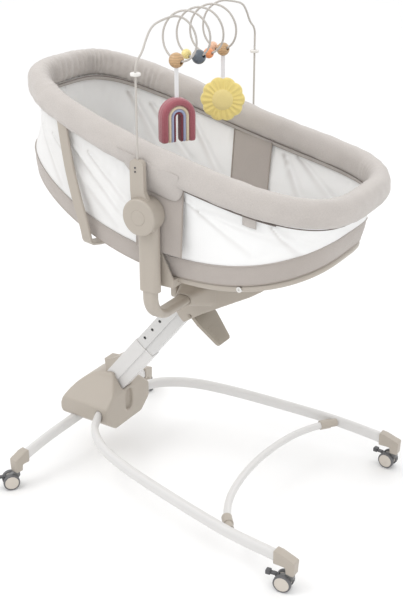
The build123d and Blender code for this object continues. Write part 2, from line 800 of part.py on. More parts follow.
def ring_halves(shape, section, gap, x_dir=(0, 0, 1)):
    head_end, foot_end = split_ends(shape, gap)
    head = tube_along(ring_edges(shape, head_end, -2 * math.pi - head_end, 14), section, x_dir)
    foot = tube_along(ring_edges(shape, foot_end, -foot_end, 10), section, x_dir)
    return head, foot


def head_hoop(clearance=0.0):
    # flat bar from the near rim tube, down outside the basket, under it and up the far side
    leg = [((-281, -222, 1062), (0.14, -0.03, -0.99)), ((-263, -225, 945), (0.20, -0.05, -0.98)),
           ((-238, -230, 852), (0.30, -0.05, -0.95)), ((-217, -232, 786), (0.25, 0, -0.97)),
           ((-222, -204, 731), (-0.25, 0.93, -0.30)), ((-247, -120, 706), (-0.18, 0.97, -0.14))]
    middle = [((-256, 0, 700), (0, 1, 0))]
    back = [((x, -y, z), (-dx, dy, -dz)) for (x, y, z), (dx, dy, dz) in reversed(leg)]
    section = RectangleRounded(hoop_bar_width + 2 * clearance, hoop_bar_thickness + 2 * clearance, 3)
    return tube_along(smooth_path(leg + middle + back), section, (1, 0, 0.14))


def floor_line(lift, x_from, x_to):
    # the basket floor's height line in side view, raised by lift
    stations = []
    for i in range(5):
        x = x_from + (x_to - x_from) * i / 4
        along = x - basket_x
        z = floor_height + floor_slope * along + floor_curl * along * along / 1000 + lift
        stations.append(((x, 0, z), (1, 0, floor_slope + 2 * floor_curl * along / 1000)))
    return smooth_path(stations)


def floor_slab(x_from, x_to, lift, thickness, inset):
    # part of the floor: its curved side view, trimmed to the plan of the floor ring
    low = floor_line(lift, x_from, x_to)
    top = floor_line(lift + thickness, x_from, x_to)
    foot_end = Edge.make_line(low[-1] @ 1, top[-1] @ 1)
    head_end = Edge.make_line(top[0] @ 0, low[0] @ 0)
    side = make_face(Wire(low + [foot_end] + top[::-1] + [head_end]))
    strip = extrude(side, floor_half_width, dir=(0, 1, 0), both=True)
    return strip & floor_prism(inset)


def floor_prism(inset):
    flat = ring(floor_head - inset, floor_foot - inset, floor_half_width - inset,
                (floor_head_fullness, floor_foot_fullness), floor_height - 100, 0, 0)
    return extrude(make_face(Wire(ring_edges(flat))), 500, dir=(0, 0, 1))


def mattress():
    # crowned pad: a section with a domed top, carried along the floor line and trimmed to the plan
    lift = rest_gap + board_thickness + rest_gap
    line = floor_line(lift, basket_x - floor_head, basket_x + floor_foot)
    plane = Plane(origin=line[0] @ 0, z_dir=line[0] % 0, x_dir=(0, 1, 0))
    half = floor_half_width - mattress_inset
    side = mattress_thickness - mattress_crown
    up = 1 if plane.y_dir.Z > 0 else -1
    low_edge = Edge.make_line((-half, 0), (half, 0))
    far_edge = Edge.make_three_point_arc((half, 0), (half + 4, up * side / 2), (half - 2, up * side))
    top_edge = Edge.make_three_point_arc((half - 2, up * side), (0, up * mattress_thickness), (2 - half, up * side))
    near_edge = Edge.make_three_point_arc((2 - half, up * side), (-half - 4, up * side / 2), (-half, 0))
    section = make_face(Wire([low_edge, far_edge, top_edge, near_edge]))
    return sweep(plane * section, path=Wire(line)) & floor_prism(band_cloth + 2 * rest_gap)


def gusset_panels():
    # cloth pockets over the side hinges, outside and inside the mesh
    outline = [(gusset_head_x, 772), (gusset_head_x + 4, 934), (gusset_foot_x + 12, 930), (gusset_foot_x, 758)]
    y_in = -plate_half_width - plate_thickness - rest_gap
    outer = side_plate(outline, y_in - gusset_cloth, y_in)
    outer = outer - along_y(hinge_x, hinge_z, shaft_diameter + 3, y_in - gusset_cloth, y_in)
    inside = side_plate([(gusset_head_x, 794), (gusset_head_x + 6, 924), (gusset_foot_x - 4, 908),
                         (gusset_foot_x - 8, 778)], -gusset_cloth, 0)
    lean = math.degrees(math.atan2(rim_half_width - floor_half_width, rim_height - floor_height))
    inside = Pos(0, -inner_panel_half_width, 850) * Rot(lean, 0, 0) * Pos(0, 0, -850) * inside
    return [*both_sides(outer), *both_sides(inside)]


def floor_bolt():
    # near bolt that holds the band to the seat tube
    start = ring_point(seat_tube_ring(), ring_x(seat_tube_ring(), floor_bolt_x))
    y_head = start.Y - seat_tube_diameter / 2 - 4
    bolt = along_y(start.X, start.Z, floor_bolt_diameter, y_head, start.Y)
    return bolt - along_y(start.X, start.Z, floor_bolt_socket, y_head, y_head + 2)


def basket():
    pins = both_sides(rim_pin(swing_gap))
    head_tube, foot_tube = ring_halves(rim_ring(), round_section(rim_tube_diameter, rim_tube_wall), rest_gap / 2)
    sleeve = Circle(padding_diameter / 2) - Circle(rim_tube_diameter / 2 + rest_gap)
    head_pad, foot_pad = ring_halves(rim_ring(), sleeve, rest_gap)
    wide_pins = both_sides(rim_pin(rest_gap))
    for near_pin in pins:
        head_tube = head_tube - near_pin
        foot_tube = foot_tube - near_pin
    for near_pin in wide_pins:
        head_pad = head_pad - near_pin
        foot_pad = foot_pad - near_pin
    head_pad = head_pad - head_hoop(rest_gap)
    head_pad = head_pad.solids().sort_by(SortBy.VOLUME)[-1]
    save("rim_padding", group([head_pad, foot_pad]))

    save("mesh_liner", ring_wall(rim_ring(cloth / 2, liner_drop), rim_ring(-cloth / 2, liner_drop),
                                 band_top_ring(-0.5, -rest_gap), band_top_ring(-0.5 - cloth, -rest_gap)))
    save("lower_band", ring_wall(band_top_ring(), band_top_ring(-band_cloth), floor_ring(),
                                 floor_ring(-band_cloth)))
    bolts = both_sides(floor_bolt())
    start = ring_x(seat_tube_ring(), seat_tube_x)
    seat_edges = ring_edges(seat_tube_ring(), start, -start, 12)
    seat_tube = tube_along(seat_edges, round_section(seat_tube_diameter, rim_tube_wall), (0, 0, 1))
    seat_core = tube_along(seat_edges, round_section(seat_tube_diameter), (0, 0, 1))
    for bolt in bolts:
        seat_tube = seat_tube - bolt
    save("basket_tubes", group([head_tube, foot_tube, seat_tube]))
    save("floor_bolts", group(bolts))
    hinge = side_hinge() - seat_core
    hinge = hinge.solids().sort_by(SortBy.VOLUME)[-1]
    save("side_hinges", group(both_sides(hinge)))
    save("side_discs", group(both_sides(side_disc())))
    near_button, far_button = both_sides(side_button())
    save("side_button_near", near_button)
    save("side_button_far", far_button)

    inset = band_cloth + rest_gap
    end = floor_foot - inset
    save("seat_board", floor_slab(board_split_x + rest_gap, basket_x + end, rest_gap, board_thickness, inset))
    save("backrest_board", floor_slab(basket_x - floor_head + inset, board_split_x, rest_gap, board_thickness,
                                      inset))
    save("mattress", mattress())
    save("gusset_panels", group(gusset_panels()))
    hoop = head_hoop() - head_tube
    hoop = hoop.solids().sort_by(SortBy.VOLUME)[-1]
    save("head_hoop", hoop)


# Toy bar
def coil_point(turn):
    angle = 2 * math.pi * turn
    y = loop_pitch * (turn - loop_turns / 2)
    point = Vector(loop_centre_x + loop_radius * math.sin(angle), y,
                   loop_centre_z + loop_radius * math.cos(angle))
    rise = loop_pitch / (2 * math.pi * loop_radius)
    return point, Vector(math.cos(angle), rise, -math.sin(angle)).normalized()


def wire_stations():
    # up the near socket, over the near arch, four coil turns, and the same again on the far side
    x = loop_centre_x
    y = -wire_half_width
    near = [(Vector(x, y, wire_foot_z), Vector(0, 0, 1)), (Vector(x, y, arch_foot_z), Vector(0, 0, 1)),
            (Vector(x, y + 36, 1243), Vector(0, 0.50, 0.87)), (Vector(x, y + 84, 1284), Vector(0.08, 0.96, 0.26))]
    turns = [coil_point(i / 4) for i in range(0, 4 * loop_turns + 1)]
    turns[0] = coil_point(arch_phase)
    turns[-1] = coil_point(loop_turns - arch_phase)
    far = [(Vector(2 * x - point.X, -point.Y, point.Z), Vector(direction.X, direction.Y, -direction.Z))
           for point, direction in reversed(near)]
    return near + turns + far


def least_gap(edges):
    # least distance between two stretches of the wire that are over a tenth of a turn apart
    points = []
    for edge in edges:
        steps = max(2, round(edge.length / 6))
        points += [edge @ (i / steps) for i in range(steps)]
    apart = round(0.35 * 2 * math.pi * loop_radius / 6)
    least = 1e9
    for i, point in enumerate(points):
        for other in points[i + apart:]:
            least = min(least, (point - other).length)
    return least - wire_diameter


def toy_wire():
    edges = smooth_path(wire_stations())
    print("least gap of the toy wire to itself, mm:", round(least_gap(edges), 2))
    return tube_along(edges, Circle(wire_diameter / 2), (1, 0, 0))


def bead(diameter, turn):
    # a round bead whose bore is wide enough for the bent wire
    centre, direction = coil_point(turn)
    sag = (diameter / 2) ** 2 / (2 * loop_radius)
    bore = wire_diameter / 2 + sag + rest_gap
    ball = Sphere(diameter / 2) - Cylinder(bore, diameter)
    return Plane(origin=centre, z_dir=direction) * ball


def stop_collar():
    collar = Cylinder(stop_diameter / 2, stop_height)
    collar = fillet(collar.edges().filter_by(GeomType.CIRCLE), 2)
    return collar - Cylinder(wire_diameter / 2 + swing_gap, stop_height)


def rainbow():
    # soft arch: a round top on two short legs
    half = rainbow_width / 2
    leg = rainbow_height - half
    outline = Wire([Edge.make_line((-half, 0), (-half, leg)),
                    Edge.make_three_point_arc((-half, leg), (0, rainbow_height), (half, leg)),
                    Edge.make_line((half, leg), (half, 0)), Edge.make_line((half, 0), (rainbow_gap, 0)),
                    Edge.make_line((rainbow_gap, 0), (rainbow_gap, leg)),
                    Edge.make_three_point_arc((rainbow_gap, leg), (0, leg + rainbow_gap), (-rainbow_gap, leg)),
                    Edge.make_line((-rainbow_gap, leg), (-rainbow_gap, 0)),
                    Edge.make_line((-rainbow_gap, 0), (-half, 0))])
    toy = extrude(make_face(outline), toy_thickness / 2, both=True)
    return fillet(toy.edges(), 7)


def sun():
    # soft scalloped disc with a raised round middle
    lobes = []
    for i in range(sun_lobes):
        angle = 2 * math.pi * i / sun_lobes
        lobes.append(Pos(sun_lobe_reach * math.cos(angle), sun_lobe_reach * math.sin(angle))
                     * Circle(sun_diameter / 2 - sun_lobe_reach))
    face = Circle(sun_lobe_reach + 3)
    for lobe in lobes:
        face = face + lobe
    petals = extrude(face, sun_rim_thickness / 2, both=True)
    middle = Cylinder(sun_middle / 2, toy_thickness)
    middle = fillet(middle.edges().filter_by(GeomType.CIRCLE), 6)
    return petals + middle


def hung(toy, height, drop, turn, diameter, facing):
    # place a flat toy under its bead, facing the room, with the ribbon that carries it
    centre, _ = coil_point(turn)
    place = Pos(centre.X, centre.Y, centre.Z - drop) * Rot(0, 0, facing) * Rot(90, 0, 0)
    placed = place * toy
    length = drop - height
    ribbon = Pos(centre.X, centre.Y, centre.Z - length / 2 - diameter / 4) * Rot(0, 0, facing)
    ribbon = ribbon * Box(ribbon_width, ribbon_thickness, length)
    return placed, ribbon


def toy_bar():
    save("toy_wire", toy_wire())
    x = loop_centre_x
    near_stop = Pos(x, -wire_half_width, near_stop_z) * stop_collar()
    far_stop = Pos(x, wire_half_width, far_stop_z) * stop_collar()
    save("wire_stops", group([near_stop, far_stop]))
    balls = {name: bead(diameter, bead_turns[name]) for name, diameter in bead_diameters.items()}
    for name, ball in balls.items():
        save(f"bead_{name}", ball)
    toy, ribbon = hung(rainbow(), rainbow_height, rainbow_drop, bead_turns["wood_near"],
                       bead_diameters["wood_near"], rainbow_facing)
    ribbon = ribbon - balls["wood_near"] - toy
    save("rainbow_toy", toy)
    save("rainbow_ribbon", ribbon.solids().sort_by(SortBy.VOLUME)[-1])
    toy, ribbon = hung(sun(), sun_diameter / 2, sun_drop, bead_turns["wood_far"], bead_diameters["wood_far"],
                       sun_facing)
    ribbon = ribbon - balls["wood_far"] - toy
    save("sun_toy", toy)
    save("sun_ribbon", ribbon.solids().sort_by(SortBy.VOLUME)[-1])


base_frame()
column_and_hub()
head_assembly()
print("head done")
basket()
print("basket done")
toy_bar()
print("toy bar done")
caster("front_near", caster_front_x, -caster_y)
caster("front_far", caster_front_x, caster_y)
caster("rear_near", -caster_rear_x, -caster_y)
caster("rear_far", -caster_rear_x, caster_y)
print("casters done")
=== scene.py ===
import json
import math
import bpy
from mathutils import Matrix, Vector, noise


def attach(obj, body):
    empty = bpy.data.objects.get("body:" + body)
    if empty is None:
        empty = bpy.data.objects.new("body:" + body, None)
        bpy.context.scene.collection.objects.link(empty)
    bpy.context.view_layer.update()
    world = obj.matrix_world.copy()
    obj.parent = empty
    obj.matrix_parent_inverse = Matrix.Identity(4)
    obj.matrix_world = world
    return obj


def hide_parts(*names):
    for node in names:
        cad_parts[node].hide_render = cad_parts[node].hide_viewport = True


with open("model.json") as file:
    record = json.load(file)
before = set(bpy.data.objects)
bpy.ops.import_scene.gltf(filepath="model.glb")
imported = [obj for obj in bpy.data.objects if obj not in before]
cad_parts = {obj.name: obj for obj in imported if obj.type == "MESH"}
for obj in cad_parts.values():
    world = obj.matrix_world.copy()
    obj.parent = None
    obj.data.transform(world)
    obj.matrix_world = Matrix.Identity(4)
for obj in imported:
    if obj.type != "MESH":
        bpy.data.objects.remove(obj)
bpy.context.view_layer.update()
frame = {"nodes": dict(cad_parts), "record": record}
nodes = frame["nodes"]
print("frame loaded")


# Shader maths: a socket that takes + - * /
class Signal:
    def __init__(self, shader, socket):
        self.shader = shader
        self.socket = socket

    def math(self, operation, *others):
        values = {i: self.socket if other is self else other for i, other in enumerate(others)}
        node = self.shader.add("ShaderNodeMath", {"operation": operation}, values)
        return Signal(self.shader, node.outputs[0])

    def __add__(self, other):
        return self.math("ADD", self, other)

    def __sub__(self, other):
        return self.math("SUBTRACT", self, other)

    def __mul__(self, other):
        return self.math("MULTIPLY", self, other)

    def __truediv__(self, other):
        return self.math("DIVIDE", self, other)

    def __rsub__(self, other):
        return self.math("SUBTRACT", other, self)

    __radd__ = __add__
    __rmul__ = __mul__


class Shader:
    def __init__(self, name):
        self.material = bpy.data.materials.new(name)
        self.material.use_nodes = True
        self.tree = self.material.node_tree
        self.surface = self.tree.nodes["Principled BSDF"]

    def add(self, kind, settings=None, values=None):
        node = self.tree.nodes.new(kind)
        for key, value in (settings or {}).items():
            if key == "ramp":
                for i, (place, colour) in enumerate(value):
                    stops = node.color_ramp.elements
                    stop = stops[i] if i < len(stops) else stops.new(place)
                    stop.position = place
                    stop.color = (*colour, 1) if len(colour) == 3 else colour
            else:
                setattr(node, key, value)
        for key, value in (values or {}).items():
            self.join(node.inputs[key], value)
        return node

    def join(self, target, value):
        if isinstance(value, Signal):
            value = value.socket
        if isinstance(value, bpy.types.NodeSocket):
            self.tree.links.new(value, target)
        elif hasattr(value, "__len__") and target.type == "RGBA" and len(value) == 3:
            target.default_value = (*value, 1)
        else:
            target.default_value = value

    def place(self, output="Object"):
        return self.add("ShaderNodeTexCoord").outputs[output]

    def noise(self, scale, detail=3.0, where=None, rough=0.5):
        node = self.add("ShaderNodeTexNoise", {}, {"Vector": where or self.place(), "Scale": scale,
                                                   "Detail": detail, "Roughness": rough})
        return Signal(self, node.outputs["Fac"])

    def stretched(self, scale, where=None):
        node = self.add("ShaderNodeMapping", {}, {"Vector": where or self.place(), "Scale": scale})
        return node.outputs[0]

    def blend(self, share, first, second):
        node = self.add("ShaderNodeMix", {"data_type": "RGBA"}, {0: share, 6: first, 7: second})
        return node.outputs[2]

    def finish(self, colour, rough, height=None, depth=0.0002, **fixed):
        self.join(self.surface.inputs["Base Color"], colour)
        self.join(self.surface.inputs["Roughness"], rough)
        if height is not None:
            bump = self.add("ShaderNodeBump", {}, {"Height": height, "Distance": depth, "Strength": 1.0})
            self.join(self.surface.inputs["Normal"], bump.outputs[0])
        for key, value in fixed.items():
            self.surface.inputs[key.replace("_", " ")].default_value = value
        return self.material


def shade(colour, factor):
    return tuple(min(1.0, c * factor) for c in colour)


# Materials
def mouldedPlastic(name, colour, gloss=0.48):
    s = Shader(name)
    grain = s.noise(900, 4)
    wear = s.noise(14, 5)
    tone = s.blend(wear, shade(colour, 0.97), shade(colour, 1.02))
    return s.finish(tone, wear * 0.10 + (gloss - 0.05), grain, 0.00006, Coat_Weight=0.06)


def powderCoat(name, colour, gloss=0.34):
    s = Shader(name)
    peel = s.noise(420, 2)
    wear = s.noise(9, 4)
    tone = s.blend(wear, shade(colour, 0.98), shade(colour, 1.01))
    return s.finish(tone, wear * 0.08 + gloss, peel, 0.00004, Coat_Weight=0.25, Coat_Roughness=0.2)


def wovenCloth(name, colour, thread=0.0009, melange=0.10, output="UV", sheen=0.35):
    # two sets of threads and a melange of lighter and darker yarn, in metres along the cloth
    s = Shader(name)
    where = s.place(output)
    turns = math.tau / thread
    axes = s.add("ShaderNodeSeparateXYZ", {}, {0: where})
    warp = Signal(s, axes.outputs[0]).math("MULTIPLY", Signal(s, axes.outputs[0]), turns)
    weft = Signal(s, axes.outputs[1]).math("MULTIPLY", Signal(s, axes.outputs[1]), turns)
    warp = warp.math("SINE", warp)
    weft = weft.math("SINE", weft)
    weave = warp * weft * 0.5 + 0.5
    streak = s.noise(1.0, 3, s.stretched((260, 1500, 260), where))
    cross = s.noise(1.0, 3, s.stretched((1500, 260, 260), where))
    cloud = s.noise(16, 4, where)
    mixed = (streak + cross) * 0.5
    share = (mixed - 0.5) * 2.6 + 0.5 + (cloud - 0.5) * 0.5
    tone = s.blend(share.math("MINIMUM", share.math("MAXIMUM", share, 0.0), 1.0),
                   shade(colour, 1 - melange), shade(colour, 1 + melange * 0.6))
    return s.finish(tone, mixed * 0.1 + 0.86, weave + mixed * 0.8, 0.00022, Sheen_Weight=sheen,
                    Sheen_Roughness=0.5, Specular_IOR_Level=0.2)


def netCloth(name, colour, cell=0.0021):
    # open net: round cells in a close grid
    s = Shader(name)
    where = s.place("UV")
    cells = s.add("ShaderNodeTexVoronoi", {"feature": "F1"}, {"Vector": where, "Scale": 1 / cell,
                                                              "Randomness": 0.15})
    hole = Signal(s, cells.outputs["Distance"])
    cloud = s.noise(7, 4, where)
    tone = s.blend(hole.math("MULTIPLY_ADD", hole, 0.9, 0.1), colour, shade(colour, 0.90))
    tone = s.blend(cloud * 0.35, tone, shade(colour, 0.95))
    # painted shade: greys the net on one side of each pulled fold and toward the head on the near side,
    # where the attribute marks it
    paintedFoldShade = s.add("ShaderNodeAttribute", {"attribute_name": "paintedFoldShade"}).outputs["Fac"]
    tone = s.blend(paintedFoldShade, tone, (0.54, 0.52, 0.50))
    return s.finish(tone, 0.82, 1 - hole, 0.00028, Sheen_Weight=0.25, Sheen_Roughness=0.4,
                    Specular_IOR_Level=0.2)


def knit(name, colour, loop=0.0022, dark=0.72):
    s = Shader(name)
    where = s.place("Object")
    cells = s.add("ShaderNodeTexVoronoi", {"feature": "F1"}, {"Vector": where, "Scale": 1 / loop,
                                                              "Randomness": 0.55})
    yarn = Signal(s, cells.outputs["Distance"])
    fleck = s.noise(240, 4, where)
    tone = s.blend(yarn.math("MULTIPLY_ADD", yarn, 0.8, -0.1), shade(colour, 1.05), shade(colour, dark))
    tone = s.blend(fleck * 0.4, tone, shade(colour, 0.9))
    return s.finish(tone, 0.9, 1 - yarn + fleck * 0.4, 0.0006, Sheen_Weight=0.5, Specular_IOR_Level=0.15)


def wood(name, colour):
    s = Shader(name)
    where = s.place()
    bands = s.add("ShaderNodeTexWave", {"wave_type": "RINGS"}, {"Vector": where, "Scale": 55,
                                                                "Distortion": 5.0, "Detail": 3.0})
    ring = Signal(s, bands.outputs["Fac"])
    pore = s.noise(1.0, 3, s.stretched((300, 300, 2200), where))
    tone = s.blend(ring * 0.7, shade(colour, 1.12), shade(colour, 0.72))
    tone = s.blend(pore * 0.3, tone, shade(colour, 0.6))
    return s.finish(tone, pore * 0.2 + 0.38, ring + pore, 0.0001, Coat_Weight=0.2)


def rubber(name, colour):
    s = Shader(name)
    grain = s.noise(700, 3)
    dust = s.noise(30, 5)
    tint = s.blend(dust, shade(colour, 0.9), shade(colour, 1.12))
    return s.finish(tint, dust * 0.15 + 0.6, grain, 0.0001)


def steel(name, colour):
    s = Shader(name)
    brushed = s.noise(1.0, 2, s.stretched((1200, 1200, 60)))
    return s.finish(colour, brushed * 0.2 + 0.25, brushed, 0.00002, Metallic=1.0)


finishes = {
    "white_paint": powderCoat("whiteCoat", (0.67, 0.66, 0.65)),
    # painted shade: the column gets a slightly darker copy of the white paint, standing in for the shade
    # it sits in
    "column_paint": powderCoat("columnShadedCoat", (0.62, 0.615, 0.605)),
    "beige_plastic": mouldedPlastic("beigeMoulded", (0.430, 0.385, 0.332)),
    "beige_paint": powderCoat("beigeCoat", (0.430, 0.385, 0.332), 0.40),
    "lever_plastic": mouldedPlastic("leverMoulded", (0.345, 0.305, 0.250)),
    "screw_steel": steel("platedSteel", (0.72, 0.71, 0.69)),
    "dark_plastic": mouldedPlastic("darkMoulded", (0.06, 0.06, 0.065)),
    "padding_fabric": wovenCloth("melangeCloth", (0.560, 0.520, 0.490), 0.0011, 0.18),
    "mesh_fabric": netCloth("whiteNet", (0.93, 0.93, 0.925)),
    "band_fabric": wovenCloth("taupeCloth", (0.470, 0.425, 0.392), 0.0010, 0.12),
    "board_plastic": mouldedPlastic("boardMoulded", (0.60, 0.55, 0.49)),
    "mattress_fabric": wovenCloth("padCloth", (0.86, 0.855, 0.84), 0.0013, 0.04),
    "wire_paint": powderCoat("wireEnamel", (0.50, 0.47, 0.435), 0.22),
    "stop_plastic": mouldedPlastic("stopMoulded", (0.78, 0.76, 0.73), 0.3),
    "bead_wood": wood("beechWood", (0.56, 0.36, 0.19)),
    "bead_yellow": mouldedPlastic("yellowPaint", (0.86, 0.72, 0.30), 0.35),
    "bead_grey": mouldedPlastic("slatePaint", (0.105, 0.125, 0.150), 0.33),
    "bead_orange": mouldedPlastic("orangePaint", (0.80, 0.30, 0.12), 0.35),
    "bead_peach": mouldedPlastic("peachPaint", (0.82, 0.52, 0.36), 0.35),
    "ribbon_white": wovenCloth("tapeCloth", (0.86, 0.86, 0.87), 0.0008, 0.03, "Object"),
    "rainbow_knit": knit("roseKnit", (0.40, 0.125, 0.150), 0.0032, 0.50),
    "sun_knit": knit("yellowKnit", (0.90, 0.74, 0.27), 0.0012, 0.9),
    "caster_plastic": mouldedPlastic("wheelMoulded", (0.60, 0.55, 0.49)),
    "caster_grey": mouldedPlastic("forkMoulded", (0.20, 0.20, 0.20)),
    "tyre_grey": rubber("tyreRubber", (0.13, 0.13, 0.135)),
    "brake_grey": mouldedPlastic("brakeMoulded", (0.09, 0.09, 0.095)),
}
creamKnit = knit("creamKnit", (0.80, 0.68, 0.50))
blueKnit = knit("blueKnit", (0.42, 0.46, 0.66))
plumKnit = knit("plumKnit", (0.24, 0.055, 0.075))
paleYellow = wovenCloth("paleYellowCloth", (0.86, 0.72, 0.32), 0.0009, 0.05, "Object")
seamCloth = wovenCloth("seamCloth", (0.20, 0.17, 0.155), 0.0009, 0.10)
pipingCloth = wovenCloth("pipingCloth", (0.40, 0.35, 0.31), 0.0009, 0.08)

slotOf = {entry["node"]: entry["material_slot"] for entry in frame["record"]["subparts"]}
for node, piece in nodes.items():
    for i in range(max(1, len(piece.material_slots))):
        if len(piece.material_slots) <= i:
            piece.data.materials.append(finishes[slotOf[node]])
        else:
            piece.material_slots[i].material = finishes[slotOf[node]]
print("materials made")


# Camera, light and floor
def studio():
    settings = {"place": (1.3388, -2.1948, 1.6785), "right": (0.851, 0.5256, 0.0),
                "up": (-0.2153, 0.3485, 0.912), "back": (0.4796, -0.7760, 0.4096),
                "lens": 63.96, "shift": (-0.0015, 0.0133)}
    camera = bpy.data.cameras.new("camera")
    camera.sensor_width = 36
    camera.lens = settings["lens"]
    camera.shift_x, camera.shift_y = settings["shift"]
    eye = bpy.data.objects.new("camera", camera)
    axes = Matrix((settings["right"], settings["up"], settings["back"])).transposed()
    eye.matrix_world = Matrix.Translation(settings["place"]) @ axes.to_4x4()
    bpy.context.collection.objects.link(eye)
    bpy.context.scene.camera = eye
    lamps = (("key", (-1.5, -1.6, 3.2), 1.8, 26), ("fill", (2.6, -1.4, 2.2), 2.6, 8),
             ("rim", (0.4, 2.8, 2.4), 2.0, 12))
    for name, place, size, power in lamps:
        lamp = bpy.data.lights.new(name, "AREA")
        lamp.size = size
        lamp.energy = power
        holder = bpy.data.objects.new(name, lamp)
        holder.location = place
        holder.rotation_euler = (Vector((0, 0, 0.7)) - Vector(place)).to_track_quat("-Z", "Y").to_euler()
        bpy.context.collection.objects.link(holder)
    world = bpy.data.worlds.new("room")
    world.use_nodes = True
    tree = world.node_tree
    direction = tree.nodes.new("ShaderNodeTexCoord")
    height = tree.nodes.new("ShaderNodeSeparateXYZ")
    sky = tree.nodes.new("ShaderNodeMapRange")
    for key, value in (("From Min", 0.05), ("From Max", 0.75), ("To Min", 0.80), ("To Max", 1.18)):
        sky.inputs[key].default_value = value
    tree.links.new(direction.outputs["Generated"], height.inputs[0])
    tree.links.new(height.outputs["Z"], sky.inputs["Value"])
    tree.links.new(sky.outputs["Result"], tree.nodes["Background"].inputs["Strength"])
    tree.nodes["Background"].inputs["Color"].default_value = (1.0, 1.0, 1.0, 1)
    bpy.context.scene.view_settings.view_transform = "Standard"
    bpy.context.scene.world = world
    bpy.ops.mesh.primitive_plane_add(size=24, location=(0, 0, -0.0005))
    floor = bpy.context.object
    floor.name = "floor"
    s = Shader("paleFloor")
    pale = s.blend(s.noise(3), (0.90, 0.90, 0.90), (0.93, 0.93, 0.93))
    floor.data.materials.append(s.finish(pale, 0.7))


studio()
print("studio ready")


# Helpers for pieces shaped from a grid
def clearSelection():
    if bpy.context.mode != "OBJECT":
        bpy.ops.object.mode_set(mode="OBJECT")
    bpy.ops.object.select_all(action="DESELECT")


def select(piece):
    clearSelection()
    piece.select_set(True)
    bpy.context.view_layer.objects.active = piece


def useModifier(piece, name, kind, **settings):
    select(piece)
    modifier = piece.modifiers.new(name, kind)
    for key, value in settings.items():
        setattr(modifier, key, value)
    bpy.ops.object.modifier_apply(modifier=name)


def gridPiece(name, across, along, place, size, closed=False, wall=0.0):
    # a grid whose (u, v) points are moved to place(u, v); size gives its cloth measure for the weave
    clearSelection()
    bpy.ops.mesh.primitive_grid_add(x_subdivisions=across, y_subdivisions=along, size=1)
    piece = bpy.context.object
    piece.name = name
    layer = piece.data.uv_layers.active.data
    for loop in piece.data.loops:
        co = piece.data.vertices[loop.vertex_index].co
        layer[loop.index].uv = ((co.x + 0.5) * size[0], (co.y + 0.5) * size[1])
    for vertex in piece.data.vertices:
        vertex.co = place(vertex.co.x + 0.5, vertex.co.y + 0.5)
    if closed:
        bpy.ops.object.mode_set(mode="EDIT")
        bpy.ops.mesh.select_all(action="SELECT")
        bpy.ops.mesh.remove_doubles(threshold=0.00002)
        bpy.ops.mesh.normals_make_consistent(inside=False)
        bpy.ops.object.mode_set(mode="OBJECT")
    if wall:
        useModifier(piece, "wall", "SOLIDIFY", thickness=wall, offset=0.0)
    bpy.ops.object.shade_smooth()
    return piece


def dress(piece, slotName, body, *replaced, material=None):
    piece.data.materials.clear()
    piece.data.materials.append(material or finishes[slotName])
    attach(piece, body)
    if replaced:
        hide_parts(*replaced)
    return piece


def declareSheet(piece, length, area=None):
    # the flat cut is as wide as the cloth's area over its length
    area = area or sum(face.area for face in piece.data.polygons)
    area / length


def tubeThrough(name, points, radius, sides=8, closed=False):
    # a thin cord-like piece through points, made a mesh
    curve = bpy.data.curves.new(name, "CURVE")
    curve.dimensions = "3D"
    spline = curve.splines.new("POLY")
    spline.points.add(len(points) - 1)
    for target, point in zip(spline.points, points):
        target.co = (*point, 1)
    spline.use_cyclic_u = closed
    curve.bevel_depth = radius
    curve.bevel_resolution = max(1, sides // 4)
    curve.use_fill_caps = True
    piece = bpy.data.objects.new(name, curve)
    bpy.context.collection.objects.link(piece)
    select(piece)
    bpy.ops.object.convert(target="MESH")
    bpy.ops.object.shade_smooth()
    return piece


# The basket's rings, in metres
basketX = 0.109
rimSizes = {"head": 0.548, "foot": 0.311, "half": 0.230, "full": (3.46, 3.16),
            "height": 0.956, "slope": -0.224, "curl": 0.115}
floorSizes = {"head": 0.577, "foot": 0.276, "half": 0.210, "full": (3.78, 3.2),
              "height": 0.698, "slope": 0.048, "curl": 0.68}
bandTopSizes = dict(floorSizes, head=0.579, foot=0.288, half=0.214, height=0.745)


def ringPoint(sizes, angle, out=0.0, rise=0.0):
    c, s = math.cos(angle), math.sin(angle)
    reach, power = (sizes["foot"], sizes["full"][1]) if c > 0 else (sizes["head"], sizes["full"][0])
    x = (reach + out) * math.copysign(abs(c) ** (2 / power), c)
    y = (sizes["half"] + out) * math.copysign(abs(s) ** (2 / power), s)
    z = sizes["height"] + sizes["slope"] * x + sizes["curl"] * x * x + rise
    return Vector((basketX + x, y, z))


def ringFrame(sizes, angle):
    step = 0.002
    tangent = (ringPoint(sizes, angle + step) - ringPoint(sizes, angle - step)).normalized()
    outward = tangent.cross(Vector((0, 0, 1))).normalized()
    return ringPoint(sizes, angle), tangent, outward, outward.cross(tangent).normalized()


def evenAngles(sizes, first, last, count):
    # angles that cut the ring into equal lengths
    fine = [first + (last - first) * i / 1200 for i in range(1201)]
    points = [ringPoint(sizes, angle) for angle in fine]
    run = [0.0]
    for a, b in zip(points, points[1:]):
        run.append(run[-1] + (b - a).length)
    angles, k = [], 0
    for i in range(count + 1):
        goal = run[-1] * i / count
        while k < 1199 and run[k + 1] < goal:
            k += 1
        share = (goal - run[k]) / max(1e-9, run[k + 1] - run[k])
        angles.append(fine[k] + (fine[k + 1] - fine[k]) * share)
    return angles, run[-1]


def angleAt(sizes, x):
    along = x - basketX
    reach, power = (sizes["foot"], sizes["full"][1]) if along > 0 else (sizes["head"], sizes["full"][0])
    return -math.acos(math.copysign(abs(along / reach) ** (power / 2), along))


def ripple(point, scale, seed=0.0):
    return noise.noise(point * scale + Vector((seed, seed * 1.7, 0)))


